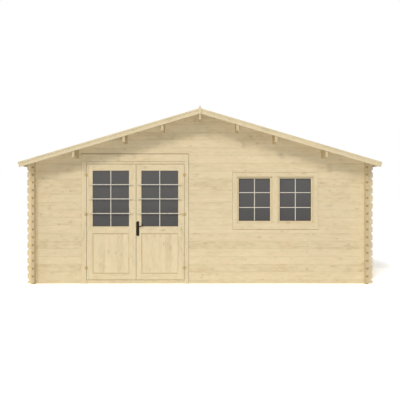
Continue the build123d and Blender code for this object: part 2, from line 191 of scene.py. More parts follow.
def spruce(name, tone, along, across, tilt=0.0, start=0.0, width=None, knots=0.4, crossing=None, zones=()):
    """Planed spruce: grain along one axis, boards side by side along another, knots, smudges and end grain, and on
    logs painted shade in the grooves at the log ends.
    """
    finish, tree, shader = new_finish(name)
    place = add(tree, "ShaderNodeTexCoord")
    turned = add(tree, "ShaderNodeMapping", {"Vector": place.outputs["Object"], "Rotation": (0.0, tilt, 0.0)})
    facing = add(tree, "ShaderNodeMapping", {"Vector": place.outputs["Normal"], "Rotation": (0.0, tilt, 0.0)})
    axes = add(tree, "ShaderNodeSeparateXYZ", {0: turned.outputs[0]}).outputs
    normal = add(tree, "ShaderNodeSeparateXYZ", {0: facing.outputs[0]}).outputs
    deep = ({0, 1, 2} - {along, across}).pop()
    run, side, depth = axes[along], axes[across], axes[deep]
    end_facing = normal[along]
    if zones:
        mask = level_mask(tree, axes, zones)
        run, side = swapped(tree, mask, run, side), swapped(tree, mask, side, run)
        end_facing = swapped(tree, mask, normal[along], normal[across])

    # Every board gets its own piece of the grain
    shade = 0.5
    if width:
        count = calc(tree, "DIVIDE", calc(tree, "SUBTRACT", side, start), width)
        board = calc(tree, "FLOOR", count)
        shade = add(tree, "ShaderNodeTexWhiteNoise", {"W": board}, noise_dimensions="1D").outputs["Value"]
        run = calc(tree, "ADD", run, calc(tree, "MULTIPLY", shade, 41.0))
    grain = add(tree, "ShaderNodeTexNoise", {"Vector": stretched(tree, run, side, depth, 1.6, 38.0),
                                             "Scale": 1.0, "Detail": 5.0, "Roughness": 0.62}).outputs[0]
    mottle = add(tree, "ShaderNodeTexNoise", {"Vector": stretched(tree, run, side, depth, 7.5, 21.0),
                                              "Scale": 1.0, "Detail": 3.0, "Roughness": 0.55}).outputs[0]
    smear = add(tree, "ShaderNodeTexNoise", {"Vector": stretched(tree, run, side, depth, 1.8, 6.0),
                                             "Scale": 1.0, "Detail": 2.0, "Roughness": 0.5}).outputs
    patches = add(tree, "ShaderNodeSeparateColor", {0: smear["Color"]}).outputs

    # Year rings bend slowly along the board
    bow = calc(tree, "MULTIPLY", smear[0], 30.0)
    ring = calc(tree, "SINE", calc(tree, "ADD", calc(tree, "MULTIPLY", side, 330.0), bow))

    # Knots and faint smudges, flat on the board's face
    far, chosen, reach = spots(tree, run, side, 2.3, 3.1, knots, 0.014, 0.046)
    core = calc(tree, "MULTIPLY", chosen, between(tree, far, reach, calc(tree, "MULTIPLY", reach, 0.4)))
    halo = calc(tree, "MULTIPLY", chosen, between(tree, far, calc(tree, "MULTIPLY", reach, 4.5), reach))
    far, chosen, reach = spots(tree, run, side, 4.1, 8.3, 0.42, 0.10, 0.30)
    smudge = calc(tree, "MULTIPLY", chosen, between(tree, far, reach, 0.0))

    # Lightness of the wood before the knots
    level = calc(tree, "ADD", swing(tree, grain, GRAIN), swing(tree, mottle, MOTTLE))
    level = calc(tree, "ADD", level, swing(tree, smear[0], SMEAR))
    level = calc(tree, "ADD", level, calc(tree, "MULTIPLY", ring, RING))
    level = calc(tree, "ADD", level, swing(tree, shade, BOARD_SHADE))
    level = calc(tree, "SUBTRACT", level, calc(tree, "MULTIPLY", halo, HALO))
    level = calc(tree, "SUBTRACT", level, calc(tree, "MULTIPLY", smudge, SMUDGE))
    ramp = add(tree, "ShaderNodeValToRGB", {0: calc(tree, "ADD", level, 0.53)})
    dark, light = ramp.color_ramp.elements
    dark.position, dark.color = 0.12, (tone[0] * 0.75, tone[1] * 0.71, tone[2] * 0.63, 1.0)
    light.position, light.color = 0.9, (tone[0] * 1.14, tone[1] * 1.15, tone[2] * 1.18, 1.0)
    middle = ramp.color_ramp.elements.new(0.5)
    middle.color = rgba(tone)
    rosy = calc(tree, "MULTIPLY", between(tree, patches[1], 0.5, 0.72), 0.6)
    colour = blend(tree, rosy, ramp.outputs[0], (1.02, 0.965, 0.955, 1.0), "MULTIPLY")
    colour = blend(tree, calc(tree, "MULTIPLY", core, KNOT_DEPTH), colour, rgba(KNOT))

    # End grain: year rings round a heart below the board's edge
    ends = between(tree, calc(tree, "ABSOLUTE", end_facing), 0.55, 0.75)
    heart = calc(tree, "ADD", calc(tree, "MULTIPLY", shade, 0.08), 0.03)
    local = calc(tree, "ADD", calc(tree, "MODULO", calc(tree, "ADD", side, 10.0), width or 0.1), heart)
    round_trip = calc(tree, "SQRT", calc(tree, "ADD", calc(tree, "MULTIPLY", local, local),
                                         calc(tree, "MULTIPLY", depth, depth)))
    rings = calc(tree, "SINE", calc(tree, "ADD", calc(tree, "MULTIPLY", round_trip, 1500.0),
                                    calc(tree, "MULTIPLY", smear[0], 9.0)))
    end_tone = blend(tree, calc(tree, "ADD", calc(tree, "MULTIPLY", rings, 0.5), 0.5),
                     (tone[0] * 0.80, tone[1] * 0.75, tone[2] * 0.66, 1.0), rgba(tone, 0.97))
    colour = blend(tree, ends, colour, end_tone)

    # Logs: an uneven fine line where two meet, and painted shade where the groove between them reaches the log ends
    if crossing:
        part = calc(tree, "FRACT", count)
        edge = calc(tree, "MULTIPLY", calc(tree, "MINIMUM", part, calc(tree, "SUBTRACT", 1.0, part)), width)
        seam = calc(tree, "MULTIPLY", between(tree, edge, 0.0024, 0.0008),
                    between(tree, patches[2], 0.35, 0.65))
        colour = blend(tree, calc(tree, "MULTIPLY", seam, SEAM_DEPTH), colour, rgba(tone, 0.45))
        off = calc(tree, "ABSOLUTE", calc(tree, "SUBTRACT", calc(tree, "ABSOLUTE", depth), crossing))
        groove_shade = calc(tree, "MULTIPLY", between(tree, edge, 0.017, 0.008), between(tree, off, 0.017, 0.010))
        groove_shade = calc(tree, "MULTIPLY", groove_shade, ends)
        colour = blend(tree, calc(tree, "MULTIPLY", groove_shade, LOG_END_SHADE_DEPTH), colour, rgba(LOG_END_SHADE))

    tree.links.new(colour, shader.inputs["Base Color"])
    rough = calc(tree, "ADD", calc(tree, "MULTIPLY", grain, 0.22), 0.5)
    tree.links.new(rough, shader.inputs["Roughness"])
    shader.inputs["Specular IOR Level"].default_value = 0.25
    height = calc(tree, "SUBTRACT", grain, calc(tree, "MULTIPLY", core, 0.4))
    bump = add(tree, "ShaderNodeBump", {"Height": height, "Strength": 0.25, "Distance": 0.0012})
    tree.links.new(bump.outputs[0], shader.inputs["Normal"])
    return finish


def dark_glass():
    """Grey pane with a faint unevenness."""
    finish, tree, shader = new_finish("grey_glass")
    place = add(tree, "ShaderNodeTexCoord")
    haze = add(tree, "ShaderNodeTexNoise", {"Vector": place.outputs["Object"], "Scale": 2.5, "Detail": 2.0})
    colour = blend(tree, haze.outputs[0], (0.094, 0.090, 0.085, 1.0), (0.110, 0.105, 0.099, 1.0))
    tree.links.new(colour, shader.inputs["Base Color"])
    rough = calc(tree, "ADD", calc(tree, "MULTIPLY", haze.outputs[0], 0.05), 0.05)
    tree.links.new(rough, shader.inputs["Roughness"])
    shader.inputs["Specular IOR Level"].default_value = 0.35
    shader.inputs["Alpha"].default_value = 0.96
    return finish


def metal(name, light, dark, shine, worn):
    """Metal with fine rubbing marks."""
    finish, tree, shader = new_finish(name)
    place = add(tree, "ShaderNodeTexCoord")
    rub = add(tree, "ShaderNodeTexNoise", {"Vector": place.outputs["Object"], "Scale": 160.0, "Detail": 4.0})
    colour = blend(tree, between(tree, rub.outputs[0], 0.35, 0.7), rgba(dark), rgba(light))
    tree.links.new(colour, shader.inputs["Base Color"])
    shader.inputs["Metallic"].default_value = shine
    shader.inputs["Specular IOR Level"].default_value = 0.25
    rough = calc(tree, "ADD", calc(tree, "MULTIPLY", rub.outputs[0], 0.25), worn)
    tree.links.new(rough, shader.inputs["Roughness"])
    bump = add(tree, "ShaderNodeBump", {"Height": rub.outputs[0], "Strength": 0.08, "Distance": 0.0004})
    tree.links.new(bump.outputs[0], shader.inputs["Normal"])
    return finish


def level_boards():
    """Where the rails, headers, sills and aprons of the joinery are, seen from the front."""
    zones = []
    for hand in ("left", "right"):
        low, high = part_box(hand + "_door_glass")
        zones.append((low.x, high.x, 0.0, DOOR_HEAD - 0.002))
        low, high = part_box(hand + "_window_glass")
        zones.append((low.x, high.x, SASH_BOTTOM, SASH_TOP))
    trim_low, trim_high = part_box("window_trim")
    frame_low, frame_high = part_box("window_frame")
    zones.append((trim_low.x - 0.1, trim_high.x + 0.1, WINDOW_HEADER_LOW, trim_high.z + 0.1))
    zones.append((frame_low.x, frame_high.x, SASH_TOP, WINDOW_HEADER_LOW))
    zones.append((trim_low.x - 0.1, trim_high.x + 0.1, trim_low.z - 0.1, SASH_BOTTOM))
    door_low, door_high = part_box("door_trim")
    zones.append((door_low.x - 0.1, door_high.x + 0.1, HEADER_LOW - 0.0002, door_high.z + 0.1))
    zones.append((DOOR_LEFT, DOOR_RIGHT, DOOR_HEAD - 0.002, HEADER_LOW))
    return zones


LOGS_X = spruce("logs_front_back", SPRUCE, 0, 2, start=0.0675, width=LOG_PITCH, crossing=CROSSING_Y)
LOGS_Y = spruce("logs_sides", SPRUCE, 1, 2, start=0.0, width=LOG_PITCH, crossing=CROSSING_X)
JOINERY = spruce("joinery_boards", SPRUCE_TRIM, 2, 0, knots=0.3, zones=level_boards())
UPRIGHT = spruce("upright_boards", SPRUCE_TRIM, 2, 0, knots=0.2)
RIGHT_VERGE = spruce("right_verge_boards", SPRUCE_TRIM, 0, 2, tilt=-PITCH, width=0.4, knots=0.3)
LEFT_VERGE = spruce("left_verge_boards", SPRUCE_TRIM, 0, 2, tilt=PITCH, width=0.4, knots=0.3)
RIGHT_ROOF = spruce("right_roof_boards", SPRUCE, 0, 1, tilt=-PITCH, start=-2.7942, width=ROOF_BOARD)
LEFT_ROOF = spruce("left_roof_boards", SPRUCE, 0, 1, tilt=PITCH, start=-2.7942, width=ROOF_BOARD)
BEAMS = spruce("beams_along_the_roof", SPRUCE, 1, 2, start=0.0, width=0.3)
FLOORING = spruce("floor_boards_wood", SPRUCE, 0, 1, start=-2.3145, width=FLOOR_BOARD)
PANELLING = spruce("door_boards_wood", SPRUCE_TRIM, 2, 0, start=-1.8617, width=PANEL_BOARD, knots=0.3)
BARS = spruce("glazing_bar_wood", SPRUCE_BAR, 2, 0, knots=0.0)
# Painted shade: the strip over the door header is dark for the shade line there
STRIP_SHADE_FINISH = spruce("header_strip_painted_shade", CAP_SHADE_TONE, 0, 2, knots=0.0)
# Painted shade: the dark bands round the trims, under the headers and round the window panes
SHADE_BAND = metal("shade_band_finish", (0.16, 0.12, 0.08), (0.10, 0.08, 0.05), 0.0, 0.7)
GLASS = dark_glass()
BRASS = metal("rubbed_brass", (0.72, 0.55, 0.27), (0.54, 0.40, 0.18), 0.35, 0.3)
BLACK = metal("black_lacquer", (0.024, 0.018, 0.011), (0.013, 0.010, 0.006), 0.0, 0.32)
ZINC = metal("zinc_screw", (0.50, 0.48, 0.42), (0.32, 0.30, 0.26), 1.0, 0.3)


# Making pieces

def timber(mesh, low, high, ease=0.0015, place=None, plumb=0.0):
    """A squared timber between two corners with eased edges; plumb slants its low end at the underside."""
    low, high = Vector(low), Vector(high)
    corners = bmesh.ops.create_cube(mesh, size=1.0)["verts"]
    middle = (low + high) / 2
    bmesh.ops.scale(mesh, vec=high - low, verts=corners)
    bmesh.ops.translate(mesh, vec=middle, verts=corners)
    under = [corner for corner in corners if corner.co.x < middle.x and corner.co.z < middle.z]
    bmesh.ops.translate(mesh, vec=(plumb, 0.0, 0.0), verts=under)
    if place is not None:
        bmesh.ops.transform(mesh, matrix=place, verts=corners)
    edges = list({edge for corner in corners for edge in corner.link_edges})
    bmesh.ops.bevel(mesh, geom=edges, offset=ease, offset_type="OFFSET", segments=1, profile=0.5,
                    affect="EDGES", material=-1)


def finished(name, mesh, body, finish, replaced=()):
    """A piece from its mesh, on its body and with its finish."""
    bmesh.ops.recalc_face_normals(mesh, faces=mesh.faces)
    data = bpy.data.meshes.new(name)
    mesh.to_mesh(data)
    mesh.free()
    data.materials.append(finish)
    piece = bpy.data.objects.new(name, data)
    bpy.context.scene.collection.objects.link(piece)
    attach(piece, body)
    if replaced:
        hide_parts(*replaced)
    return piece


def dress(finish, *names):
    """A finish on nodes that stay as they are built."""
    for name in names:
        data = nodes[name].data
        data.materials.clear()
        data.materials.append(finish)


def eased(name, node, finish, ease=0.002):
    """The boards of a node again, with their edges eased by a plane."""
    mesh = bmesh.new()
    mesh.from_mesh(nodes[node].data)
    bmesh.ops.remove_doubles(mesh, verts=mesh.verts, dist=0.00001)
    bmesh.ops.dissolve_limit(mesh, angle_limit=0.01, verts=mesh.verts, edges=mesh.edges)
    sharp = [edge for edge in mesh.edges if edge.is_manifold and edge.calc_face_angle() > 0.2]
    bmesh.ops.bevel(mesh, geom=sharp, offset=ease, offset_type="OFFSET", segments=2, profile=0.5,
                    affect="EDGES", material=-1)
    finished(name, mesh, "cabin", finish, (node,))


# Roof

def roof_boards(side):
    """Narrow boards from the ridge down to the eave, side by side along the roof."""
    name = "roof_slope_" + side
    low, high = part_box(name)
    ridge = high.z + SEAT_GAP * math.tan(PITCH)
    length = high.x if side == "right" else -low.x
    turn = Matrix.Translation((0.0, 0.0, ridge)) @ Matrix.Rotation(PITCH, 4, "Y")
    if side == "left":
        turn = Matrix.Scale(-1.0, 4, (1.0, 0.0, 0.0)) @ turn
    count = round((high.y - low.y) / ROOF_BOARD)
    step = (high.y - low.y) / count
    mesh = bmesh.new()
    for number in range(count):
        first = low.y + number * step
        timber(mesh, (SEAT_GAP / math.cos(PITCH), first + BOARD_GAP, -ROOF_THICKNESS),
               (length / math.cos(PITCH), first + step - BOARD_GAP, 0.0),
               0.004, turn, ROOF_THICKNESS * math.tan(PITCH))
    finish = RIGHT_ROOF if side == "right" else LEFT_ROOF
    finished("roof_boards_" + side, mesh, "cabin", finish, (name,))


# Floor

def floor_boards():
    """Floor boards across the bearers."""
    low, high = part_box("floor")
    count = round((high.y - low.y) / FLOOR_BOARD)
    step = (high.y - low.y) / count
    mesh = bmesh.new()
    for number in range(count):
        first = low.y + number * step
        timber(mesh, (low.x, first + BOARD_GAP, low.z), (high.x, first + step - BOARD_GAP, high.z), 0.002)
    finished("floor_boards", mesh, "cabin", FLOORING, ("floor",))


# Doors

def leaf_frame(side):
    """Stiles and rails of a leaf, each a timber of its own."""
    name = side + "_door_leaf"
    low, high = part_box(name)
    glass_low, glass_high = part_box(side + "_door_glass")
    panel_low, panel_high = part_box(side + "_door_panel")
    inner = (glass_low.x - SEAT_GAP, glass_high.x + SEAT_GAP)
    mesh = bmesh.new()
    timber(mesh, low, (inner[0], high.y, high.z), 0.0012)
    timber(mesh, (inner[1], low.y, low.z), high, 0.0012)
    levels = ((low.z, panel_low.z - SEAT_GAP), (panel_high.z + SEAT_GAP, glass_low.z - SEAT_GAP),
              (glass_high.z + SEAT_GAP, high.z))
    for z_low, z_high in levels:
        timber(mesh, (inner[0], low.y, z_low), (inner[1], high.y, z_high), 0.0012)
    finished(side + "_door_stiles_rails", mesh, side + "_leaf", JOINERY, (name,))


def moulding(mesh, low, high, wide, sunk):
    """A frame round a panel whose face slopes from its outer edge down to the panel."""
    corners = bmesh.ops.create_cube(mesh, size=1.0)["verts"]
    bmesh.ops.scale(mesh, vec=high - low, verts=corners)
    bmesh.ops.translate(mesh, vec=(low + high) / 2, verts=corners)
    faces = sorted({face for corner in corners for face in corner.link_faces},
                   key=lambda face: face.calc_center_median().y)
    near, far = (faces[0], faces[-1]) if sunk > 0.0 else (faces[-1], faces[0])
    bmesh.ops.inset_individual(mesh, faces=[near, far], thickness=wide, depth=0.0)
    bmesh.ops.translate(mesh, vec=(0.0, sunk, 0.0), verts=near.verts[:])
    inner = near.edges[:] + far.edges[:]
    bmesh.ops.delete(mesh, geom=[near, far], context="FACES_ONLY")
    bmesh.ops.bridge_loops(mesh, edges=inner)


def panel_boards(side):
    """Upright boards in the lower part of a leaf, with a sloping moulding round them on both faces."""
    name = side + "_door_panel"
    low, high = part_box(name)
    front, back = low.y + 0.007, high.y - 0.004
    count = round((high.x - low.x) / PANEL_BOARD)
    step = (high.x - low.x) / count
    mesh = bmesh.new()
    for number in range(count):
        first = low.x + number * step
        timber(mesh, (first + 0.0001, front, low.z), (first + step - 0.0001, back, high.z), 0.0014)
    finished(side + "_door_boards", mesh, side + "_leaf", PANELLING, (name,))
    frames = bmesh.new()
    quirk = 0.0015
    x_low, x_high, z_low, z_high = low.x + quirk, high.x - quirk, low.z + quirk, high.z - quirk
    face = LEAF_FACE + quirk
    moulding(frames, Vector((x_low, face, z_low)), Vector((x_high, front, z_high)), MOULDING_WIDTH,
             front - face - 0.001)
    face = LEAF_BACK - quirk
    moulding(frames, Vector((x_low, back, z_low)), Vector((x_high, face, z_high)), MOULDING_WIDTH,
             back - face + 0.001)
    finished(side + "_door_mouldings", frames, side + "_leaf", UPRIGHT)


def door_bars(side):
    """The bar grid of a leaf: an upright in the glass, and level bars that stand off the stiles on blocks."""
    low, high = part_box(side + "_door_glass")
    middle = DOOR_BAR_MIDDLE[side]
    half = BAR_WIDTH / 2
    front = LEAF_FACE - BAR_STAND
    behind = front + 0.012
    left, right = low.x - BAR_LAP, high.x + BAR_LAP
    mesh = bmesh.new()
    timber(mesh, (middle - half, LEAF_FACE - 0.0005, low.z), (middle + half, low.y, high.z), 0.002)
    timber(mesh, (middle - half, high.y, low.z), (middle + half, LEAF_BACK, high.z), 0.002)
    for height in DOOR_BAR_HEIGHTS:
        z_low, z_high = height - half, height + half
        timber(mesh, (left, front, z_low), (right, behind, z_high), 0.002)
        for x_low in (left + 0.004, high.x + 0.006):
            timber(mesh, (x_low, behind, z_low + 0.001), (x_low + BAR_LAP - 0.010, LEAF_FACE, z_high - 0.001), 0.001)
        timber(mesh, (left, LEAF_BACK + SEAT_GAP, z_low), (right, LEAF_BACK + 0.0095, z_high), 0.002)
    finished(side + "_door_bars", mesh, side + "_leaf", BARS)


def glass_beads(side):
    """Slim beads that hold the pane of a leaf above and below."""
    low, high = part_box(side + "_door_glass")
    mesh = bmesh.new()
    for z_low, z_high in ((low.z, low.z + 0.006), (high.z - 0.007, high.z)):
        timber(mesh, (low.x, LEAF_FACE + 0.002, z_low), (high.x, low.y, z_high), 0.001)
        timber(mesh, (low.x, high.y, z_low), (high.x, LEAF_BACK - 0.002, z_high), 0.001)
    finished(side + "_glass_beads", mesh, side + "_leaf", JOINERY)


def header_shade_strip():
    """The narrow strip along the top of the board over the doors, dark so that it paints the shade line there."""
    mesh = bmesh.new()
    foot = HEADER_TOP + SEAT_GAP
    timber(mesh, (TRIM_LEFT, WALL_FACE - 0.016, foot), (TRIM_RIGHT, WALL_FACE - SEAT_GAP, foot + 0.016), 0.001)
    finished("door_header_strip", mesh, "cabin", STRIP_SHADE_FINISH)


def jamb_strips():
    """A thin lath on each jamb beside the leaves, and on the edge where the leaves meet."""
    front, ease = LEAF_FACE + 0.0035, 0.0004
    mesh = bmesh.new()
    for x_low, x_high in ((DOOR_LEFT, DOOR_LEFT + 0.0029), (DOOR_RIGHT - 0.0026, DOOR_RIGHT)):
        timber(mesh, (x_low, front, 0.0678), (x_high, WALL_FACE - 0.0005, DOOR_HEAD - 0.005), ease)
    finished("door_jamb_laths", mesh, "cabin", UPRIGHT)
    low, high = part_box("left_door_leaf")
    mesh = bmesh.new()
    timber(mesh, (high.x, front, low.z + 0.002), (high.x + 0.0017, LEAF_FACE + 0.012, high.z - 0.002), ease)
    finished("left_meeting_lath", mesh, "left_leaf", UPRIGHT)


def shade_bands():
    """Dark bands that show by a hair's breadth round the trim and under the headers: painted shade for the shade
    lines there.
    """
    mesh = bmesh.new()
    near, far = WALL_FACE - 0.004, WALL_FACE - 0.0004
    hold, ease = 0.01, 0.0003
    low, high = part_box("door_trim")
    wide = 0.003
    timber(mesh, (low.x - wide, near, low.z), (low.x + hold, far, high.z), ease)
    timber(mesh, (high.x - hold, near, low.z), (high.x + wide, far, high.z), ease)
    timber(mesh, (DOOR_LEFT + 0.001, WALL_FACE - 0.0135, HEADER_LOW - 0.0028),
           (DOOR_RIGHT - 0.001, WALL_FACE - 0.0106, HEADER_LOW - 0.0006), ease)
    low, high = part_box("window_trim")
    side, foot = 0.0016, 0.003
    timber(mesh, (low.x - side, near, low.z - foot), (low.x + hold, far, WINDOW_HEADER_LOW), ease)
    timber(mesh, (high.x - hold, near, low.z - foot), (high.x + side, far, WINDOW_HEADER_LOW), ease)
    timber(mesh, (low.x + hold, near, low.z - foot), (high.x - hold, far, low.z + hold), ease)
    timber(mesh, (low.x + 0.001, LEAF_FACE - 0.002, WINDOW_HEADER_LOW - 0.0022),
           (high.x - 0.001, LEAF_FACE - 0.0003, WINDOW_HEADER_LOW - 0.0003), ease)
    finished("shade_line_bands", mesh, "cabin", SHADE_BAND)


# Hinges and handle

def raised(mesh, corners, step, ease, segments):
    """A flat outline drawn out to a solid with a rounded rim on its far side."""
    grown = bmesh.ops.extrude_face_region(mesh, geom=[corners[0].link_faces[0]])["geom"]
    top = [part for part in grown if isinstance(part, bmesh.types.BMVert)]
    bmesh.ops.translate(mesh, vec=step, verts=top)
    rim = list({edge for corner in top for edge in corner.link_edges if all(end in top for end in edge.verts)})
    bmesh.ops.bevel(mesh, geom=rim, offset=ease, offset_type="OFFSET", segments=segments, profile=0.5,
                    affect="EDGES", material=-1)


def slab(mesh, place, width, height, thick, ease):
    """A flat plate with round ends on a face that looks to -Y, its middle at the given place."""
    half = width / 2
    turn = Matrix.Rotation(math.pi / 2, 4, "X") @ Matrix.Rotation(math.pi / 32, 4, "Z")
    corners = bmesh.ops.create_circle(mesh, cap_ends=True, segments=32, radius=half, matrix=turn)["verts"]
    for way in (-1.0, 1.0):
        end = [corner for corner in corners if corner.co.z * way > 0.0]
        bmesh.ops.translate(mesh, vec=(0.0, 0.0, way * (height / 2 - half)), verts=end)
    bmesh.ops.translate(mesh, vec=place, verts=corners)
    raised(mesh, corners, (0.0, -thick, 0.0), ease, 3)


def stud(mesh, place, radius, high, sides=16):
    """A low round head or boss that stands on a face, with a rounded rim."""
    turn = Matrix.Translation(place) @ Matrix.Rotation(math.pi / 2, 4, "X")
    ring = bmesh.ops.create_circle(mesh, cap_ends=True, segments=sides, radius=radius, matrix=turn)["verts"]
    raised(mesh, ring, (0.0, -high, 0.0), min(high, radius) * 0.45, 2)


def both_faces(mesh):
    """The same again on the inside of the leaf."""
    middle = (LEAF_FACE + LEAF_BACK) / 2
    grown = bmesh.ops.duplicate(mesh, geom=mesh.verts[:] + mesh.edges[:] + mesh.faces[:])["geom"]
    copies = [part for part in grown if isinstance(part, bmesh.types.BMVert)]
    bmesh.ops.scale(mesh, vec=(1.0, -1.0, 1.0), verts=copies, space=Matrix.Translation((0.0, -middle, 0.0)))


def handle_plates():
    """Round-ended plates on both faces of the right leaf, each with a boss, a keyhole and two screws."""
    low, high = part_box("door_handle_plates")
    x, z = LEVER_PLACE
    mesh = bmesh.new()
    slab(mesh, (x, LEAF_FACE, (low.z + high.z) / 2), high.x - low.x, high.z - low.z, LEAF_FACE - low.y, 0.002)
    for end in (low.z + 0.022, high.z - 0.022):
        stud(mesh, (x, low.y + 0.0005, end), 0.005, 0.002)
    stud(mesh, (x, low.y + 0.0005, z - 0.085), 0.0105, 0.0025, 24)
    stud(mesh, (x, low.y + 0.0005, z), 0.0165, 0.008, 32)
    both_faces(mesh)
    finished("handle_plates_round", mesh, "right_leaf", BLACK, ("door_handle_plates",))


def drawn(mesh, edges, step, size=1.0):
    """The open end of a rod drawn on by a step, wider or narrower."""
    grown = bmesh.ops.extrude_edge_only(mesh, edges=edges)["geom"]
    corners = [part for part in grown if isinstance(part, bmesh.types.BMVert)]
    bmesh.ops.translate(mesh, vec=step, verts=corners)
    centre = sum((corner.co for corner in corners), Vector()) / len(corners)
    bmesh.ops.scale(mesh, vec=(size, size, size), verts=corners, space=Matrix.Translation(-centre))
    return [part for part in grown if isinstance(part, bmesh.types.BMEdge)
            and all(end in corners for end in part.verts)]


def lever_handle():
    """A round lever on each face, bent up at its free end."""
    low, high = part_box("door_lever")
    x, z = LEVER_PLACE
    radius, straight, bend, sweep = 0.0088, 0.052, 0.024, math.radians(58.0)
    arm = low.y + radius
    middle = (LEAF_FACE + LEAF_BACK) / 2
    mesh = bmesh.new()
    turn = Matrix.Translation((x, arm, z)) @ Matrix.Rotation(math.pi / 2, 4, "Y")
    ring = bmesh.ops.create_circle(mesh, cap_ends=False, segments=20, radius=radius, matrix=turn)["verts"]
    first = list({edge for corner in ring for edge in corner.link_edges})
    edges = drawn(mesh, first, (straight, 0.0, 0.0))
    corners = list({end for edge in edges for end in edge.verts})
    turned = bmesh.ops.spin(mesh, geom=corners + edges, cent=(x + straight, arm, z + bend), axis=(0.0, 1.0, 0.0),
                            dvec=(0.0, 0.0, 0.0), angle=-sweep, steps=8, use_duplicate=False)["geom_last"]
    edges = [part for part in turned if isinstance(part, bmesh.types.BMEdge)]
    way = Vector((math.cos(sweep), 0.0, math.sin(sweep)))
    for length, size in ((0.010, 1.85), (0.011, 1.0), (0.006, 0.75), (0.002, 0.5)):
        edges = drawn(mesh, edges, way * length, size)
    bmesh.ops.holes_fill(mesh, edges=edges, sides=0)
    edges = drawn(mesh, first, (-0.005, 0.0, 0.0), 0.9)
    edges = drawn(mesh, edges, (-0.0025, 0.0, 0.0), 0.55)
    bmesh.ops.holes_fill(mesh, edges=edges, sides=0)
    neck = Matrix.Translation((x, (arm + middle) / 2, z)) @ Matrix.Rotation(math.pi / 2, 4, "X")
    bmesh.ops.create_cone(mesh, cap_ends=True, segments=24, radius1=0.009, radius2=0.009,
                          depth=middle - arm, matrix=neck)
    both_faces(mesh)
    finished("lever_handle_round", mesh, "lever", BLACK, ("door_lever",))


def hinge_wings(side):
    """Brass wings of the hinges: one on the trim, one on the leaf, each with two screws."""
    away = 1.0 if side == "left" else -1.0
    edge = DOOR_LEFT if side == "left" else DOOR_RIGHT
    leaf_low, leaf_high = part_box(side + "_door_leaf")
    wings = {"cabin": bmesh.new(), side + "_leaf": bmesh.new()}
    for share in HINGE_SHARES:
        height = leaf_low.z + share * (leaf_high.z - leaf_low.z)
        for body, near, far in (("cabin", -0.004, -0.026), (side + "_leaf", 0.012, 0.034)):
            x_low, x_high = sorted((edge + away * near, edge + away * far))
            timber(wings[body], (x_low, LEAF_FACE - 0.0025, height - 0.026),
                   (x_high, LEAF_FACE, height + 0.026), 0.001)
            for rise in (-0.015, 0.015):
                stud(wings[body], ((x_low + x_high) / 2, LEAF_FACE - 0.0022, height + rise), 0.004, 0.0016, 12)
    for body, mesh in wings.items():
        place = "trim" if body == "cabin" else "leaf"
        finished(side + "_hinge_wings_" + place, mesh, body, BRASS)


# Window

def window_bars(side):
    """The bars in front of a pane of the window."""
    low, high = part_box(side + "_window_glass")
    half = BAR_WIDTH / 2
    lap = 0.007
    middle = (low.x + high.x) / 2
    front, back = low.y - 0.013, low.y
    mesh = bmesh.new()
    timber(mesh, (middle - half, front, low.z - lap), (middle + half, back, high.z + lap), 0.002)
    timber(mesh, (middle - half, high.y, low.z), (middle + half, high.y + 0.010, high.z), 0.002)
    for height in WINDOW_BAR_HEIGHTS:
        z_low, z_high = height - half, height + half
        timber(mesh, (low.x - lap, front - 0.0006, z_low), (high.x + lap, back, z_high), 0.002)
        timber(mesh, (low.x, high.y, z_low), (high.x, high.y + 0.0106, z_high), 0.002)
    finished(side + "_window_bars", mesh, "cabin", BARS)


def pane_shade_band(side):
    """A dark band round a pane of the window, in the bevel of the sash, wider at the left, top and bottom than at
    the right: painted shade at the pane's edges.
    """
    low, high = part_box(side + "_window_glass")
    sash_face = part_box(side + "_window_sash")[0].y
    near, far, over, ease = sash_face + 0.0015, low.y, 0.0008, 0.0003
    wide, slim = 0.0065, 0.0015
    z_low, z_high = low.z - wide, high.z + wide
    mesh = bmesh.new()
    timber(mesh, (low.x - wide, near, z_low), (low.x + over, far, z_high), ease)
    timber(mesh, (high.x - over, near, z_low), (high.x + slim, far, z_high), ease)
    timber(mesh, (low.x + over, near, z_low), (high.x - over, far, low.z + over), ease)
    timber(mesh, (low.x + over, near, high.z - over), (high.x - over, far, z_high), ease)
    finished(side + "_pane_shade_band", mesh, "cabin", SHADE_BAND)


# Screws

def trim_screws():
    """Small screw heads in the boards round the doors and the window."""
    mesh = bmesh.new()
    low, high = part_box("door_trim")
    places = [(x, z) for x in ((low.x + DOOR_LEFT) / 2, (high.x + DOOR_RIGHT) / 2)
              for z in (0.12, 0.62, 1.12, 1.62, 2.08)]
    places += [(low.x + 0.06 + number * (high.x - low.x - 0.12) / 4, 2.19) for number in range(5)]
    low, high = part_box("window_trim")
    places += [(x, z) for x in (low.x + 0.06, high.x - 0.06) for z in (1.12, 1.47, 1.82)]
    places += [(low.x + 0.06 + number * (high.x - low.x - 0.12) / 3, low.z + 0.05) for number in range(4)]
    for x, z in places:
        stud(mesh, (x, LEAF_FACE + 0.0008, z), 0.0038, 0.0014, 10)
    finished("trim_screws", mesh, "cabin", ZINC)


# Finishes of the nodes that stay

dress(LOGS_X, "front_sill_log", "front_wall_left", "front_wall_right", "front_lintel_log", "front_gable",
      "back_wall", "back_gable")
dress(LOGS_Y, "left_wall", "right_wall")
dress(BEAMS, "eave_batten_left", "eave_batten_right", "floor_bearers")
dress(GLASS, "left_door_glass", "right_door_glass", "left_window_glass", "right_window_glass")
dress(BRASS, "left_frame_hinges", "right_frame_hinges", "left_leaf_hinges", "right_leaf_hinges")

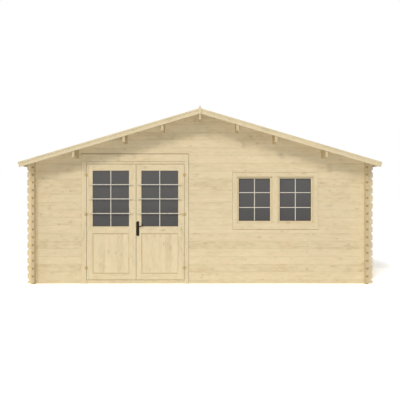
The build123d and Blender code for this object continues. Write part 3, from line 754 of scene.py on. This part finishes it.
for hand, verge in (("left", LEFT_VERGE), ("right", RIGHT_VERGE)):
    roof_boards(hand)
    leaf_frame(hand)
    panel_boards(hand)
    door_bars(hand)
    glass_beads(hand)
    window_bars(hand)
    pane_shade_band(hand)
    hinge_wings(hand)
    eased(hand + "_sash_timbers", hand + "_window_sash", JOINERY, 0.0015)
    eased(hand + "_purlin_beams", hand + "_purlins", BEAMS, 0.003)
    eased("front_verge_boards_" + hand, "front_bargeboard_" + hand, verge)
    eased("back_verge_boards_" + hand, "back_bargeboard_" + hand, verge)
eased("ridge_beam", "ridge_purlin", BEAMS, 0.003)
eased("front_ridge_board", "front_ridge_cover", UPRIGHT)
eased("back_ridge_board", "back_ridge_cover", UPRIGHT)
eased("door_trim_boards", "door_trim", JOINERY)
eased("door_frame_timbers", "door_frame", JOINERY)
eased("window_trim_boards", "window_trim", JOINERY)
eased("window_frame_timbers", "window_frame", JOINERY)
floor_boards()
header_shade_strip()
jamb_strips()
shade_bands()
handle_plates()
lever_handle()
trim_screws()


# Ground, light and camera

def white_ground():
    """A white ground that shows the cabin's shadow."""
    mesh = bmesh.new()
    bmesh.ops.create_grid(mesh, x_segments=1, y_segments=1, size=150.0)
    data = bpy.data.meshes.new("ground")
    mesh.to_mesh(data)
    mesh.free()
    ground = bpy.data.objects.new("ground", data)
    bpy.context.scene.collection.objects.link(ground)
    paint = bpy.data.materials.new("ground_white")
    paint.use_nodes = True
    tree = paint.node_tree
    tree.nodes.clear()
    plain = add(tree, "ShaderNodeBsdfDiffuse", {"Color": (0.92, 0.92, 0.92, 1.0)})
    paler = add(tree, "ShaderNodeBsdfDiffuse", {"Color": (0.81, 0.83, 0.86, 1.0)})
    bright = paler
    for _ in range(3):
        bright = add(tree, "ShaderNodeAddShader", {0: bright.outputs[0], 1: paler.outputs[0]})
    path = add(tree, "ShaderNodeLightPath")
    seen = add(tree, "ShaderNodeMixShader", {0: path.outputs["Is Camera Ray"], 1: plain.outputs[0],
                                             2: bright.outputs[0]})
    add(tree, "ShaderNodeOutputMaterial", {"Surface": seen.outputs[0]})
    data.materials.append(paint)


def white_sky(strength):
    """Even light from all round, seen as plain white."""
    world = bpy.data.worlds.new("white_surround")
    world.use_nodes = True
    tree = world.node_tree
    tree.nodes.clear()
    path = add(tree, "ShaderNodeLightPath").outputs
    seen = calc(tree, "MAXIMUM", path["Is Camera Ray"], calc(tree, "MAXIMUM", path["Is Glossy Ray"],
                                                            path["Is Transmission Ray"]))
    power = calc(tree, "ADD", calc(tree, "MULTIPLY", seen, 1.0 - strength), strength)
    back = add(tree, "ShaderNodeBackground", {"Color": (1.0, 1.0, 1.0, 1.0), "Strength": power})
    add(tree, "ShaderNodeOutputWorld", {"Surface": back.outputs[0]})
    bpy.context.scene.world = world


def hung(name, data, place=(0.0, 0.0, 0.0)):
    """A lamp or camera in the scene, at its place."""
    holder = bpy.data.objects.new(name, data)
    bpy.context.scene.collection.objects.link(holder)
    holder.location = place
    return holder


def sun(name, azimuth, height, strength, width, tint=(1.0, 1.0, 1.0)):
    """A soft distant lamp: its azimuth to the left of straight on, and its height above the ground."""
    lamp = bpy.data.lights.new(name, "SUN")
    lamp.energy = strength
    lamp.color = tint
    lamp.angle = math.radians(width)
    a, e = math.radians(azimuth), math.radians(height)
    travel = Vector((math.sin(a) * math.cos(e), math.cos(a) * math.cos(e), -math.sin(e)))
    holder = hung(name, lamp)
    holder.rotation_mode = "QUATERNION"
    holder.rotation_quaternion = travel.to_track_quat("-Z", "Y")


def front_lamp(power, tint):
    """A soft lamp low beside the camera that fills the shadows without showing in the panes."""
    lamp = bpy.data.lights.new("front_lamp", "SPOT")
    lamp.energy = power
    lamp.color = tint
    lamp.shadow_soft_size = 0.6
    lamp.spot_size = math.radians(60.0)
    lamp.spot_blend = 0.6
    holder = hung("front_lamp", lamp, (0.0, -14.4, 0.9))
    holder.rotation_euler = (math.radians(96.0), 0.0, 0.0)
    holder.visible_glossy = False
    holder.visible_camera = False


def roof_lamp(power):
    """A soft box over the roof, whose narrow beam falls on the roof alone."""
    lamp = bpy.data.lights.new("roof_lamp", "AREA")
    lamp.shape = "RECTANGLE"
    lamp.size, lamp.size_y = 6.05, 5.62
    lamp.spread = math.radians(8.0)
    lamp.energy = power
    holder = hung("roof_lamp", lamp, (0.0, 0.0, 4.6))
    holder.visible_glossy = False
    holder.visible_camera = False


def camera():
    """Straight on to the front, at the height and distance of the photograph."""
    lens = bpy.data.cameras.new("front_camera")
    lens.lens = 62.2
    lens.sensor_width = 36.0
    holder = hung("front_camera", lens, (0.0, -14.3625, 1.456))
    holder.rotation_euler = (math.radians(90.0), 0.0, 0.0)
    bpy.context.scene.camera = holder


white_ground()
white_sky(0.10)
sun("left_lamp", 19.0, 29.2, 0.905, 10.0, WARM_LIGHT)
sun("right_lamp", -19.0, 30.2, 0.455, 12.0, WARM_LIGHT)
sun("left_side_lamp", 100.0, 0.6, 1.3, 1.0)
sun("right_side_lamp", -100.0, 0.6, 0.48, 1.0)
sun("back_lamp", 180.0, 0.6, 1.6, 1.0)
sun("left_fill_lamp", 58.0, 12.0, 0.34, 30.0)
front_lamp(1930.0, COOL_LIGHT)
roof_lamp(75.0)
camera()
bpy.context.scene.view_settings.view_transform = "Standard"
